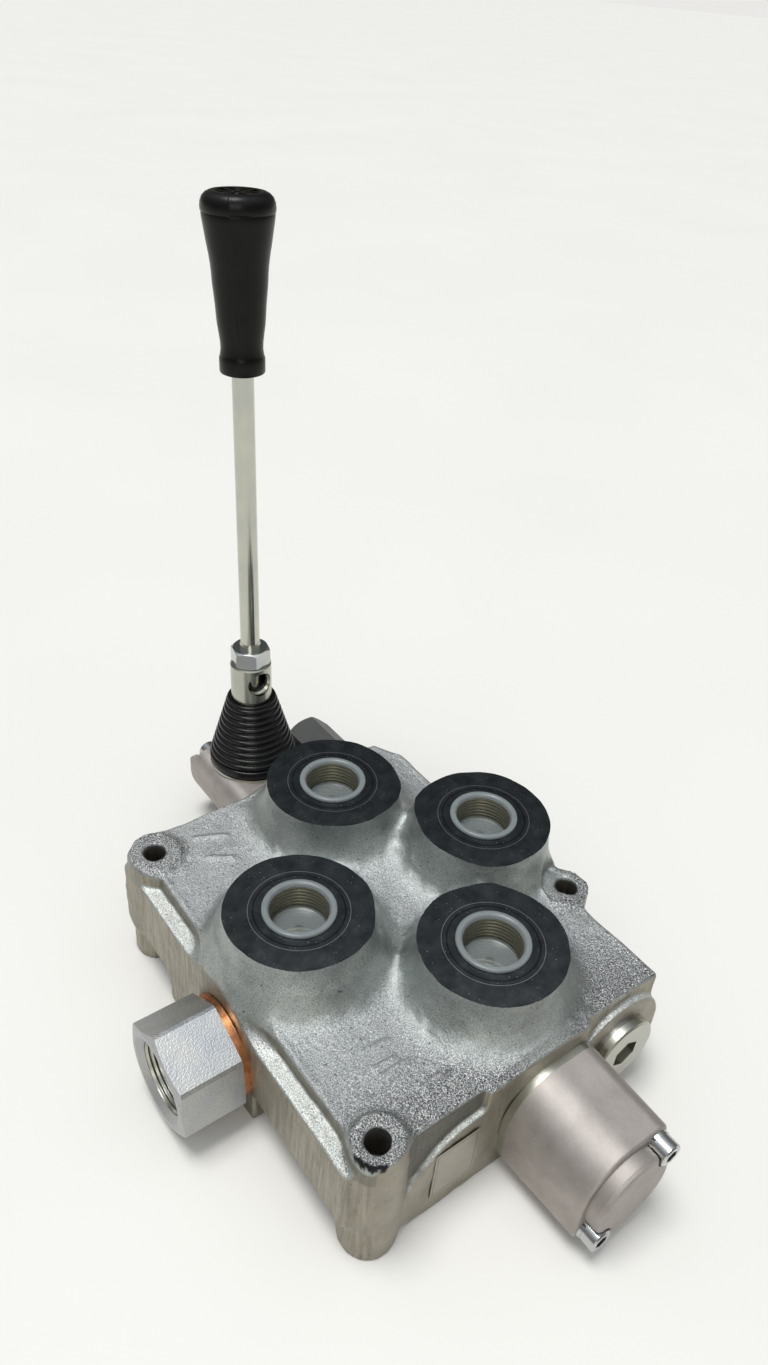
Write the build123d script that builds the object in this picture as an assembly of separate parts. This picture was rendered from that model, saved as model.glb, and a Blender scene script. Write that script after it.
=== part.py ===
from build123d import *
import os

os.makedirs("parts", exist_ok=True)

# Hydraulic monoblock directional valve with one hand-operated, spring-centred spool.
# Millimetres. +Z is up. The origin is on the base plane, midway between the two work ports.
# +X runs along the spool, from the hand lever to the spring cap. -Y is the side with the port adapter.

# ---- driving dimensions ------------------------------------------------------------------------

# cast body
BODY_REAR_X = -88.0
BODY_FRONT_X = 95.0
BODY_EDGE_X = 92.5
BODY_LEDGE_Y = -91.0
BODY_STEP_Y = -84.0
BODY_BACK_Y = 61.0
BODY_WAIST_Y = 56.0
PLATEAU_Z = 56.0
LEDGE_Z = 49.5
PORT_FACE_Z = 78.0
FOOT_LIFT = 18.0
FOOT_Y = -58.0

# rounded wall that carries the label, at the front
LABEL_WALL_R = 31.5
LABEL_WALL_Y = -35.5
LABEL_WALL_Z = 13.0

# port bosses, in plan
PORTS = {
    "work_a": (-55.5, 0.0),
    "work_b": (55.5, 0.0),
    "pressure": (1.0, -54.0),
    "tank": (-0.5, 43.7),
}
BOSS_R = 30.0
BOSS_FLARE_R = 45.0
BOSS_FLARE_DEPTH = 4.0
PORT_THREAD_R = 12.06
PORT_SEAT_R = 12.35
PORT_SEAT_DEPTH = 13.5
PORT_THREAD_LENGTH = 12.0
GALLERY_R = 11.0

# mounting ears: x, y and the height of the top
EARS = {"left": (-76.5, -79.5, 57.5), "front": (87.5, -77.2, 59.5), "back": (38.0, 62.5, 57.5)}
EAR_TOP_R = 9.8
EAR_FOOT_R = 11.5
MOUNT_HOLE_R = 4.75

# spool and its end fittings
SPOOL_Z = 26.5
SPOOL_R = 11.0
SPOOL_CLEARANCE = 0.05
SEAL_OUTER_R = 14.5
SEAL_WIDTH = 4.0
PLATE_THICKNESS = 3.0
SCREW_OFFSET = 14.3
M6_R = 2.95
M6_HEAD_R = 5.0
M6_HEAD_H = 6.0
END_HALF_WIDTH = 22.3
END_LOBE_R = 7.8

# spring cap
CAP_SHOULDER_X = 136.5
CAP_DISC_X = 143.0
CAP_DISC_R = 18.5
CAP_CAVITY_R = 15.5
CAP_CAVITY_X = 124.3
CAP_DRAFT = 1.2

# lever housing and lever
PIVOT_X = -126.8
PIVOT_Z = 48.5
PIN_R = 3.0
LEVER_LEAN_DEG = 2.1
HOUSING_REAR_X = -151.0
HOUSING_TOP_Z = 42.5
HOUSING_HALF_WIDTH = 25.0
BALL_R = 5.0
HUB_R = 10.0
HUB_BOTTOM_Z = 60.0
HUB_TOP_Z = 101.0
ROD_R = 4.6
ROD_THREAD_R = 5.0
ROD_ENGAGEMENT = 16.0
ROD_TOP_Z = 292.0
GRIP_BOTTOM_Z = 242.0
GRIP_TOP_Z = 310.0

# boot
BOOT_BASE_Z = 44.5
BOOT_TOP_Z = 79.0
BOOT_BASE_R = 21.5
BOOT_TOP_R = 12.5

# side bores, at spool height
CHECK_Y = 42.0
CHECK_BOSS_R = 24.5
RELIEF_Y = 42.0
RELIEF_BOSS = 5.0
RELIEF_SHOULDER_X = BODY_REAR_X - RELIEF_BOSS - 1.5
RELIEF_HEX_LENGTH = 13.0
PLUG_WASHER_THICKNESS = 1.5
PLUG_SOCKET_AF = 12.0
PLUG_SOCKET_DEPTH = 5.0
ADAPTER_X = 6.0
ADAPTER_AF = 42.0
ADAPTER_TIP_Y = -121.0
ADAPTER_THREAD_R = 15.15
COPPER_THICKNESS = 1.5


# ---- helpers -----------------------------------------------------------------------------------

UPWARDS = (Align.CENTER, Align.CENTER, Align.MIN)


def rod_x(x0, x1, r, y=0.0, z=SPOOL_Z):
    """Round bar along X, from x0 to x1."""
    return Pos(x0, y, z) * Rot(0, 90, 0) * Cylinder(r, x1 - x0, align=UPWARDS)


def rod_y(y0, y1, r, x=0.0, z=SPOOL_Z):
    """Round bar along Y, from y0 to y1."""
    return Pos(x, y0, z) * Rot(-90, 0, 0) * Cylinder(r, y1 - y0, align=UPWARDS)


def rod_z(z0, z1, r, x=0.0, y=0.0):
    """Round bar along Z, from z0 to z1."""
    return Pos(x, y, z0) * Cylinder(r, z1 - z0, align=UPWARDS)


def block(x0, x1, y0, y1, z0, z1):
    """Rectangular block between two corners."""
    return Pos((x0 + x1) / 2, (y0 + y1) / 2, (z0 + z1) / 2) * Box(x1 - x0, y1 - y0, z1 - z0)


def turned(points, centre, axis="z"):
    """Solid of revolution: points are (radius, position along the axis)."""
    face = make_face(Polyline(*[(r, h) for r, h in points], close=True))
    solid = revolve(Plane.XZ * face, Axis.Z)
    turn = {"z": Rot(0, 0, 0), "x": Rot(0, 90, 0), "-x": Rot(0, -90, 0), "-y": Rot(90, 0, 0)}[axis]
    return Pos(*centre) * turn * solid


def hexagon(across_flats, length, angle=0.0):
    """Hexagonal bar standing on the XY plane, with its first corner at the given angle."""
    outline = RegularPolygon(across_flats / 2, 6, major_radius=False, rotation=angle)
    return extrude(outline, length)


def hex_socket(across_flats, depth):
    """Hexagonal recess, cut downwards from the XY plane."""
    return Pos(0, 0, -depth) * hexagon(across_flats, depth + 1)


def leaned(solid):
    """Lean a lever piece, drawn upright over the pivot, to its rest angle."""
    return Pos(PIVOT_X, 0, PIVOT_Z) * Rot(0, -LEVER_LEAN_DEG, 0) * Pos(0, 0, -PIVOT_Z) * solid


def save(node, *solids):
    """Write one node, which may be a group of separate solids."""
    shape = solids[0] if len(solids) == 1 else Compound(children=list(solids))
    export_step(shape, f"parts/{node}.step")
    return shape


# ---- cast body ---------------------------------------------------------------------------------

def plan_prism(points, z0, z1, corner_r, top_r):
    """Extruded outline with rounded upright corners and a rounded top edge."""
    prism = Pos(0, 0, z0) * extrude(make_face(Polyline(*points, close=True)), z1 - z0)
    prism = fillet(prism.edges().filter_by(Axis.Z), corner_r)
    return fillet(prism.faces().sort_by(Axis.Z)[-1].edges(), top_r)


def boss(x, y):
    """Port boss: a round face on a wall that flares out into the casting."""
    flare_z = PLATEAU_Z - BOSS_FLARE_DEPTH
    profile = (
        Polyline((0, flare_z), (0, PORT_FACE_Z), (BOSS_R, PORT_FACE_Z), (BOSS_R + 0.9, 66.0))
        + ThreePointArc((BOSS_R + 0.9, 66.0), (BOSS_R + 4.2, 58.6), (BOSS_FLARE_R, flare_z))
        + Line((BOSS_FLARE_R, flare_z), (0, flare_z))
    )
    return Pos(x, y, 0) * revolve(Plane.XZ * make_face(profile), Axis.Z)


def front_pad():
    """Machined pad for the end plate and the check valve's plug, proud of the front wall."""
    pad = block(60.0, BODY_FRONT_X, -32.0, 20.0, FOOT_LIFT, PLATEAU_Z - 0.5)
    pad += rod_x(40.0, BODY_FRONT_X, CHECK_BOSS_R, CHECK_Y)
    label_wall = rod_x(60.0, BODY_FRONT_X, LABEL_WALL_R, LABEL_WALL_Y, LABEL_WALL_Z)
    return pad + (label_wall & block(60.0, BODY_FRONT_X, -75.0, 0.0, 1.0, PLATEAU_Z))


def body_blank():
    """The casting before machining."""
    outline = [
        (BODY_REAR_X, BODY_STEP_Y),
        (BODY_EDGE_X, BODY_STEP_Y),
        (BODY_EDGE_X, BODY_BACK_Y),
        (20.0, BODY_BACK_Y),
        (-20.0, BODY_WAIST_Y),
        (-74.0, BODY_WAIST_Y),
        (BODY_REAR_X, 49.0),
    ]
    slab = plan_prism(outline, FOOT_LIFT, PLATEAU_Z, 7.0, 2.5) + front_pad()
    ledge_points = [(-84.0, BODY_LEDGE_Y), (88.0, BODY_LEDGE_Y), (88.0, -70.0), (-84.0, -70.0)]
    ledge = plan_prism(ledge_points, FOOT_LIFT, LEDGE_Z, 6.0, 3.0)
    main_foot = block(BODY_REAR_X + 1.5, BODY_FRONT_X, FOOT_Y, BODY_WAIST_Y - 5.0, 0, FOOT_LIFT + 1)
    side_foot = block(-45.0, 27.0, BODY_LEDGE_Y + 0.5, FOOT_Y + 1, 0, FOOT_LIFT + 1)
    blank = slab + ledge + main_foot + side_foot
    flares = [boss(x, y) for x, y in PORTS.values()]
    limits = block(BODY_REAR_X, BODY_FRONT_X, BODY_LEDGE_Y, BODY_BACK_Y, 0, PORT_FACE_Z + 1)
    tank_x, tank_y = PORTS["tank"]
    limits += rod_z(0, PORT_FACE_Z + 1, BOSS_R + 3, tank_x, tank_y)
    for flare in flares:
        blank += flare & limits
    drum = [(0, 12), (20, 12), (BOSS_R + 1, 28), (BOSS_R + 1, PLATEAU_Z), (0, PLATEAU_Z)]
    blank += turned(drum, (tank_x, tank_y, 0))
    for x, y, top_z in EARS.values():
        column = [(0, 0), (EAR_FOOT_R, 0), (EAR_TOP_R, top_z - 1.2), (EAR_TOP_R - 1.2, top_z), (0, top_z)]
        blank += turned(column, (x, y, 0))
    back_x, back_y, back_z = EARS["back"]
    blank += block(back_x - EAR_TOP_R, back_x + EAR_TOP_R, BODY_BACK_Y - 20, back_y, 2, back_z - 2.5)
    blank += rod_x(BODY_REAR_X - RELIEF_BOSS, BODY_REAR_X + 5, 16.5, RELIEF_Y)
    return blank


def body_bores():
    """Everything machined out of the casting, as a list of tools."""
    tools = []
    seat_z = PORT_FACE_Z - PORT_SEAT_DEPTH
    thread_z = seat_z - PORT_THREAD_LENGTH
    for x, y in PORTS.values():
        tools.append(rod_z(seat_z, PORT_FACE_Z + 1, PORT_SEAT_R, x, y))
        tools.append(rod_z(thread_z, seat_z, PORT_THREAD_R, x, y))
        tools.append(rod_z(SPOOL_Z, thread_z, GALLERY_R, x, y))
    for x, y, top_z in EARS.values():
        tools.append(rod_z(-1, top_z + 1, MOUNT_HOLE_R, x, y))
    pressure_y = PORTS["pressure"][1]
    tank_y = PORTS["tank"][1]
    tools.append(rod_y(pressure_y, tank_y, 8.0, 0.0))
    tools.append(rod_x(BODY_REAR_X - 1, BODY_FRONT_X + 1, SPOOL_R + SPOOL_CLEARANCE))
    for x in (-55.5, -26.0, 0.0, 26.0, 55.5):
        tools.append(rod_x(x - 5.5, x + 5.5, 15.0))
    tools.append(rod_x(BODY_REAR_X - 1, BODY_REAR_X + SEAL_WIDTH, SEAL_OUTER_R))
    tools.append(rod_x(BODY_FRONT_X - SEAL_WIDTH, BODY_FRONT_X + 1, SEAL_OUTER_R))
    for side in (1, -1):
        y = side * SCREW_OFFSET
        z = SPOOL_Z + side * SCREW_OFFSET
        tools.append(rod_x(BODY_FRONT_X - 16, BODY_FRONT_X + 1, 3.0, y, z))
    for y, z in housing_screw_places():
        tools.append(rod_x(BODY_REAR_X - 1, BODY_REAR_X + 16, 3.0, y, z))
    tools.append(rod_x(0, BODY_FRONT_X - 18, 6.0, CHECK_Y))
    tools.append(rod_x(38.0, BODY_FRONT_X - 18, 9.0, CHECK_Y))
    tools.append(rod_x(BODY_FRONT_X - 18, BODY_FRONT_X + 1, 12.06, CHECK_Y))
    tools.append(rod_x(-60.0, 0, 6.0, RELIEF_Y))
    tools.append(rod_x(BODY_REAR_X - RELIEF_BOSS - 1, -60.0, 11.0, RELIEF_Y))
    tools.append(rod_y(BODY_LEDGE_Y - 1, -75.0, 16.5, ADAPTER_X))
    tools.append(rod_y(-75.0, pressure_y, 11.0, ADAPTER_X))
    return tools


def valve_body():
    """Casting with its ports, bores and mounting holes."""
    body = body_blank()
    for tool in body_bores():
        body -= tool
    return body


# ---- port plugs --------------------------------------------------------------------------------

def port_plug(x, y):
    """Plastic transit plug: a thin cup with a rim that stands on the port face."""
    depth = PORT_SEAT_DEPTH - 1.2
    wall_r = PORT_SEAT_R - 0.1
    cup = [
        (0, -depth), (wall_r, -depth), (wall_r, 0), (15.0, 0), (15.0, 1.2), (14.6, 1.6),
        (12.2, 1.6), (11.2, 0.6), (11.2, 1.4 - depth), (0, 1.4 - depth),
    ]
    gate = rod_z(1.4 - depth, 2.3 - depth, 1.2)
    return Pos(x, y, PORT_FACE_Z + 0.02) * (turned(cup, (0, 0, 0)) + gate)


# ---- side adapter ------------------------------------------------------------------------------

def port_adapter():
    """Hexagonal thread adapter in the side pressure inlet."""
    back_y = BODY_LEDGE_Y - 2 * COPPER_THICKNESS
    length = back_y - ADAPTER_TIP_Y
    bar = hexagon(ADAPTER_AF, length, 34.7)
    cone_r = ADAPTER_AF / 2 * 1.13
    envelope = turned([(0, 0), (cone_r, 0), (cone_r, length - 1.2), (ADAPTER_AF / 2 - 0.8, length),
                       (0, length)], (0, 0, 0))
    head = Pos(ADAPTER_X, back_y, SPOOL_Z) * Rot(90, 0, 0) * (bar & envelope)
    adapter = head + rod_y(back_y - 1, -77.0, 16.4, ADAPTER_X)
    adapter -= rod_y(ADAPTER_TIP_Y - 1, ADAPTER_TIP_Y + 20, ADAPTER_THREAD_R, ADAPTER_X)
    adapter -= rod_y(ADAPTER_TIP_Y + 19, -76.0, 11.5, ADAPTER_X)
    wide_r = ADAPTER_THREAD_R + 3.0
    mouth = turned([(0, -1), (wide_r, -1), (wide_r, 0), (ADAPTER_THREAD_R, 2.2), (0, 2.2)], (0, 0, 0))
    return adapter - Pos(ADAPTER_X, ADAPTER_TIP_Y, SPOOL_Z) * Rot(-90, 0, 0) * mouth


def copper_washer(index):
    """One of the two soft copper sealing washers behind the adapter's hexagon."""
    y1 = BODY_LEDGE_Y - index * COPPER_THICKNESS
    y0 = y1 - COPPER_THICKNESS
    return rod_y(y0, y1, 21.6 - 0.3 * index, ADAPTER_X) - rod_y(y0 - 1, y1 + 1, 16.9, ADAPTER_X)


# ---- spool, end plates and seals ---------------------------------------------------------------

def end_outline(x, mirrored=False, shrink=0.0):
    """Lobed outline of the end fittings, in the plane at x: a round with two screw corners."""
    side = -1 if mirrored else 1
    corner = Circle(END_LOBE_R - shrink)
    edges = Circle(END_HALF_WIDTH - shrink).edges()
    edges += (Pos(side * SCREW_OFFSET, SCREW_OFFSET) * corner).edges()
    edges += (Pos(-side * SCREW_OFFSET, -SCREW_OFFSET) * corner).edges()
    plane = Plane(origin=(x, 0, SPOOL_Z), x_dir=(0, 1, 0), z_dir=(1, 0, 0))
    return plane * make_hull(edges)


def end_section(x0, x1, mirrored=False, shrink=0.0):
    """Solid between two end outlines, which narrows by shrink on each side towards x1."""
    return loft([end_outline(x0, mirrored), end_outline(x1, mirrored, shrink)])


def screw_places():
    """Centres (y, z) of the spring cap's two diagonal screws."""
    return [(SCREW_OFFSET, SPOOL_Z + SCREW_OFFSET), (-SCREW_OFFSET, SPOOL_Z - SCREW_OFFSET)]


def seal_plate(x0, mirrored):
    """Flat plate that holds a spool seal in the body."""
    plate = end_section(x0, x0 + PLATE_THICKNESS, mirrored)
    plate -= rod_x(x0 - 1, x0 + PLATE_THICKNESS + 1, SPOOL_R + 0.4)
    for y, z in housing_screw_places() if mirrored else screw_places():
        plate -= rod_x(x0 - 1, x0 + PLATE_THICKNESS + 1, 3.3, y, z)
    return plate


def spool_seal(x0):
    """Rubber lip seal round the spool."""
    ring = rod_x(x0, x0 + SEAL_WIDTH - 0.1, SEAL_OUTER_R - 0.05)
    return ring - rod_x(x0 - 1, x0 + SEAL_WIDTH + 1, SPOOL_R + 0.06)


def spool():
    """Grooved control spool with a flat, drilled tongue for the lever ball."""
    bar = rod_x(-112.0, BODY_FRONT_X + PLATE_THICKNESS, SPOOL_R)
    for x in (-40.5, -13.0, 13.0, 40.5):
        bar -= rod_x(x - 7.5, x + 7.5, SPOOL_R + 1) - rod_x(x - 8, x + 8, 7.0)
    bar += rod_x(PIVOT_X - 4.0, -111.0, 9.0)
    bar += rod_z(SPOOL_Z - 8, SPOOL_Z + 8, 9.0, PIVOT_X)
    bar -= block(PIVOT_X - 12, -113.5, -12, 12, SPOOL_Z + 4, SPOOL_Z + 12)
    bar -= block(PIVOT_X - 12, -113.5, -12, 12, SPOOL_Z - 12, SPOOL_Z - 4)
    bar -= rod_z(SPOOL_Z - 12, SPOOL_Z + 12, BALL_R + 0.12, PIVOT_X)
    return bar - rod_x(80.0, 99.0, 4.05)


def spindle_bolt():
    """Bolt in the spool's end that carries the spring seats."""
    seat_x = CAP_CAVITY_X - 0.3
    socket = Pos(seat_x + 6.0, 0, SPOOL_Z) * Rot(0, 90, 0) * hex_socket(6.0, 3.5)
    return rod_x(82.0, seat_x, 4.0) + rod_x(seat_x, seat_x + 6.0, 6.5) - socket


def spring_seat(x, inward):
    """Cupped washer at one end of the centring spring; inward is the side its sleeve points to."""
    flange = rod_x(min(x, x + 1.8 * inward), max(x, x + 1.8 * inward), 14.6)
    sleeve = rod_x(min(x, x + 7 * inward), max(x, x + 7 * inward), 8.0)
    return flange + sleeve - rod_x(x - 10, x + 10, 4.1)


def coil_spring(length, radius, wire_r, turns):
    """Helical compression spring standing on the XY plane."""
    path = Helix(pitch=(length - 2 * wire_r) / turns, height=length - 2 * wire_r, radius=radius)
    profile = Plane(origin=path @ 0, z_dir=path % 0) * Circle(wire_r)
    return Pos(0, 0, wire_r) * sweep(profile, path=path)


# ---- spring cap --------------------------------------------------------------------------------

def spring_cap():
    """Aluminium cap over the centring spring."""
    base_x = BODY_FRONT_X + PLATE_THICKNESS
    cap = end_section(base_x, CAP_SHOULDER_X, shrink=CAP_DRAFT)
    cap = fillet(cap.faces().sort_by(Axis.X)[-1].edges(), 1.6)
    disc = [(0, CAP_SHOULDER_X - 3), (CAP_DISC_R, CAP_SHOULDER_X - 3), (CAP_DISC_R, CAP_DISC_X - 1.8),
            (CAP_DISC_R - 0.5, CAP_DISC_X - 0.6), (CAP_DISC_R - 1.8, CAP_DISC_X), (0, CAP_DISC_X)]
    cap += turned(disc, (0, 0, SPOOL_Z), "x")
    cap -= rod_x(base_x - 1, CAP_CAVITY_X, CAP_CAVITY_R)
    cap -= rod_x(CAP_CAVITY_X, CAP_DISC_X - 4.0, 8.5)
    for y, z in screw_places():
        cap -= rod_x(base_x - 1, CAP_SHOULDER_X + 1, 3.3, y, z)
        cap -= rod_x(CAP_SHOULDER_X, CAP_DISC_X + 1, M6_HEAD_R + 0.7, y, z)
    return cap


def cap_screw(length):
    """M6 socket cap screw, hanging from its head's underside at the origin."""
    head = Cylinder(M6_HEAD_R, M6_HEAD_H, align=UPWARDS)
    head = chamfer(head.faces().sort_by(Axis.Z)[-1].edges(), 0.5)
    shank = rod_z(-length, 1, M6_R)
    return head + shank - Pos(0, 0, M6_HEAD_H) * hex_socket(5.0, 3.2)


def facing_x(solid, x, y, z, forward=True):
    """Turn a fastener drawn along +Z so that its head faces +X or -X."""
    return Pos(x, y, z) * Rot(0, 90 if forward else -90, 0) * solid


def lock_washer(x, y, z):
    """Split spring washer under a cap screw head."""
    ring = rod_x(x, x + 1.5, M6_HEAD_R + 0.3, y, z) - rod_x(x - 1, x + 3, 3.1, y, z)
    return ring - Pos(x + 0.75, y, z) * Rot(35, 0, 0) * Pos(0, 0, 4) * Box(4, 0.8, 4)


# ---- lever housing -----------------------------------------------------------------------------

def housing_outline():
    """Section of the lever housing: a flat top, one wide round corner and one tight one below."""
    half = HOUSING_HALF_WIDTH
    bottom = SPOOL_Z - END_HALF_WIDTH
    height = HOUSING_TOP_Z - bottom
    outline = Pos(0, bottom + height / 2) * Rectangle(2 * half, height)
    corners = outline.vertices().sort_by(Axis.Y)
    low = corners[:2].sort_by(Axis.X)
    outline = fillet(low[0], half - 0.5)
    outline = fillet(outline.vertices().sort_by(Axis.X)[-2:].sort_by(Axis.Y)[0], END_LOBE_R)
    return fillet(outline.vertices().sort_by(Axis.Y)[-2:], 8.0)


def lever_housing():
    """Aluminium box round the lever's ball end, with a neck that holds the pivot pin."""
    front_x = BODY_REAR_X - PLATE_THICKNESS
    half = HOUSING_HALF_WIDTH
    rear_plane = Plane(origin=(HOUSING_REAR_X, 0, 0), x_dir=(0, 1, 0), z_dir=(1, 0, 0))
    shell = extrude(rear_plane * housing_outline(), front_x - HOUSING_REAR_X)
    shell = fillet(shell.faces().sort_by(Axis.X)[0].edges(), 2.5)
    shell += rod_z(HOUSING_TOP_Z - 3, HOUSING_TOP_Z + 12.5, 15.5, PIVOT_X)
    shell -= block(-145.0, front_x + 1, -13.5, 13.5, 9.0, 38.0)
    shell -= rod_z(37.0, HOUSING_TOP_Z + 14, 11.5, PIVOT_X)
    shell -= rod_y(-17, 17, PIN_R + 0.02, PIVOT_X, PIVOT_Z)
    for y, z in housing_screw_places():
        shell -= rod_x(HOUSING_REAR_X - 1, front_x + 1, 3.3, y, z)
        shell -= rod_x(HOUSING_REAR_X - 1, HOUSING_REAR_X + 7.0, M6_HEAD_R + 0.8, y, z)
    y, z = housing_screw_places()[0]
    shell -= block(HOUSING_REAR_X - 1, HOUSING_REAR_X + 7.0, -half - 1, y, z - 2, HOUSING_TOP_Z + 1)
    shell -= block(HOUSING_REAR_X - 1, HOUSING_REAR_X + 7.0, y - 1, y + M6_HEAD_R + 0.8, z, HOUSING_TOP_Z + 1)
    return shell


def housing_screw_places():
    """Centres (y, z) of the lever housing's two diagonal screws."""
    return [(-SCREW_OFFSET, SPOOL_Z + SCREW_OFFSET - 4.0), (SCREW_OFFSET, SPOOL_Z - SCREW_OFFSET)]


# ---- lever -------------------------------------------------------------------------------------

def lever_arm():
    """Ball-ended lever: hub above the pivot, leaned to rest, and a straight arm below it."""
    hub_profile = [(0, PIVOT_Z - 3), (7.0, PIVOT_Z - 3), (7.0, 57.0), (HUB_R - 1, HUB_BOTTOM_Z),
                   (HUB_R, HUB_BOTTOM_Z + 1), (HUB_R, HUB_TOP_Z - 0.6), (HUB_R - 0.6, HUB_TOP_Z),
                   (0, HUB_TOP_Z)]
    hub = turned(hub_profile, (0, 0, 0))
    hub -= rod_z(HUB_TOP_Z - ROD_ENGAGEMENT - 0.5, HUB_TOP_Z + 1, ROD_THREAD_R + 0.02)
    cross_z = HUB_TOP_Z - 8.6
    hub -= rod_x(2.0, HUB_R + 1, 4.6, 0, cross_z)
    countersink = [(0, 6.0), (4.6, 6.0), (6.3, HUB_R - 2), (6.3, HUB_R + 1), (0, HUB_R + 1)]
    hub -= turned(countersink, (0, 0, cross_z), "x")
    arm_profile = [(0, SPOOL_Z), (3.4, SPOOL_Z), (3.4, SPOOL_Z + 9), (5.5, SPOOL_Z + 13), (7.0, PIVOT_Z - 5),
                   (7.0, PIVOT_Z + 2), (0, PIVOT_Z + 2)]
    arm = turned(arm_profile, (PIVOT_X, 0, 0)) + Pos(PIVOT_X, 0, SPOOL_Z) * Sphere(BALL_R)
    lever = leaned(hub) + arm
    return lever - rod_y(-20, 20, PIN_R + 0.05, PIVOT_X, PIVOT_Z)


def jam_nut():
    """M10 lock nut on top of the hub."""
    nut = hexagon(17.0, 8.5, -13.4)
    cone = turned([(0, 0), (8.6, 0), (9.9, 0.9), (9.9, 7.4), (8.4, 8.5), (0, 8.5)], (0, 0, 0))
    nut = (nut & cone) - rod_z(-1, 10, ROD_THREAD_R + 0.02)
    return leaned(Pos(0, 0, HUB_TOP_Z) * nut)


def lever_rod():
    """Round rod between the hub and the grip, with a rolled thread at its foot."""
    thread_top_z = HUB_TOP_Z + 10.5
    foot_z = HUB_TOP_Z - ROD_ENGAGEMENT
    profile = [(0, foot_z), (ROD_R, foot_z), (ROD_THREAD_R, foot_z + 1.2), (ROD_THREAD_R, thread_top_z),
               (ROD_R, thread_top_z + 1.0), (ROD_R, ROD_TOP_Z - 0.8), (ROD_R - 0.8, ROD_TOP_Z), (0, ROD_TOP_Z)]
    return leaned(turned(profile, (0, 0, 0)))


def grip():
    """Moulded hand grip, swelling towards a domed top with a ribbed dimple."""
    base = GRIP_BOTTOM_Z
    flank = Spline((9.0, base + 8), (8.5, base + 12), (9.6, base + 20), (10.7, base + 34), (12.2, base + 48),
                   (14.2, base + 57), (14.5, base + 61), (13.6, base + 65.5))
    collar = Polyline((0, base), (8.6, base), (9.4, base + 0.8), (9.4, base + 6.5), (9.0, base + 8))
    crown = Polyline((13.6, base + 65.5), (11.8, base + 67.4), (9.2, GRIP_TOP_Z), (8.4, GRIP_TOP_Z),
                     (7.8, base + 66), (0, base + 66), (0, base))
    profile = collar + flank + crown
    shape = revolve(Plane.XZ * make_face(profile), Axis.Z)
    return leaned(shape - rod_z(base - 1, ROD_TOP_Z + 0.5, ROD_R + 0.02))


# ---- boot --------------------------------------------------------------------------------------

def boot():
    """Rubber bellows between the housing and the hub, as a stepped cone with one rib per fold."""
    folds = 9
    cuff_z = BOOT_BASE_Z + 4.0
    pitch = (BOOT_TOP_Z - 1.5 - cuff_z) / folds
    slope = (BOOT_TOP_R - BOOT_BASE_R) / (folds * pitch)
    outer = [(BOOT_BASE_R, BOOT_BASE_Z), (BOOT_BASE_R, cuff_z)]
    for fold in range(folds):
        z = cuff_z + fold * pitch
        r = BOOT_BASE_R + slope * (z - cuff_z)
        outer += [(r - 1.3, z + 0.15 * pitch), (r - 0.2, z + 0.4 * pitch), (r - 0.2, z + 0.75 * pitch)]
    outer += [(BOOT_TOP_R, BOOT_TOP_Z - 1.5), (BOOT_TOP_R - 0.6, BOOT_TOP_Z)]
    inner = [(HUB_R + 0.05, BOOT_TOP_Z), (HUB_R + 0.05, BOOT_TOP_Z - 4.5), (BOOT_BASE_R - 3.4, cuff_z),
             (BOOT_BASE_R - 3.4, BOOT_BASE_Z)]
    return leaned(turned(outer + inner, (0, 0, 0)))


def boot_ring():
    """Flat ring that the boot's cuff stands on."""
    z0 = HOUSING_TOP_Z
    return rod_z(z0, z0 + 1.2, 21.9, PIVOT_X) - rod_z(z0 - 1, z0 + 3, 15.8, PIVOT_X)


# ---- valves in the side bores ------------------------------------------------------------------

def socket_plug():
    """Flanged screw plug over the check valve."""
    flange_x = BODY_FRONT_X + PLUG_WASHER_THICKNESS
    end_x = flange_x + 3.6
    foot_x = flange_x - 17.0
    profile = [(0, foot_x), (11.2, foot_x), (12.0, foot_x + 1), (12.0, flange_x), (16.0, flange_x),
               (16.0, end_x - 0.7), (15.2, end_x), (0, end_x)]
    plug = turned(profile, (0, CHECK_Y, SPOOL_Z), "x")
    plug -= Pos(end_x, CHECK_Y, SPOOL_Z) * Rot(0, 90, 0) * hex_socket(PLUG_SOCKET_AF, PLUG_SOCKET_DEPTH)
    return plug - rod_x(foot_x - 1, foot_x + 6, 6.5, CHECK_Y)


def ring_x(x0, x1, outer_r, inner_r, y):
    """Flat ring round an X axis at spool height."""
    return rod_x(x0, x1, outer_r, y) - rod_x(x0 - 1, x1 + 1, inner_r, y)


def check_poppet():
    """Cupped check valve poppet with a conical nose."""
    profile = [(0, 36.5), (4.2, 36.5), (5.9, 38.2), (8.92, 38.2), (8.92, 58.0), (0, 58.0)]
    nose = turned(profile, (0, CHECK_Y, SPOOL_Z), "x")
    return nose - rod_x(44.0, 59.0, 6.5, CHECK_Y)


def relief_cartridge():
    """Threaded sleeve and hexagon of the pressure relief valve, facing -X."""
    sleeve = rod_x(RELIEF_SHOULDER_X - 1, -62.0, 10.94, RELIEF_Y)
    bar = Pos(RELIEF_SHOULDER_X, RELIEF_Y, SPOOL_Z) * Rot(0, -90, 0) * hexagon(27.0, RELIEF_HEX_LENGTH, 30.0)
    body = sleeve + bar + rod_x(RELIEF_SHOULDER_X - 25.0, RELIEF_SHOULDER_X, 9.0, RELIEF_Y)
    body -= rod_x(RELIEF_SHOULDER_X - 26.0, -66.0, 6.0, RELIEF_Y)
    return body - rod_x(-67.0, -60.0, 3.5, RELIEF_Y)


def relief_poppet():
    """Cone that lifts off the relief valve's seat."""
    profile = [(0, -66.0), (3.0, -66.4), (5.9, -69.5), (5.9, -78.0), (2.2, -78.0), (2.2, -84.0), (0, -84.0)]
    return turned(profile, (0, RELIEF_Y, SPOOL_Z), "x")


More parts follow.
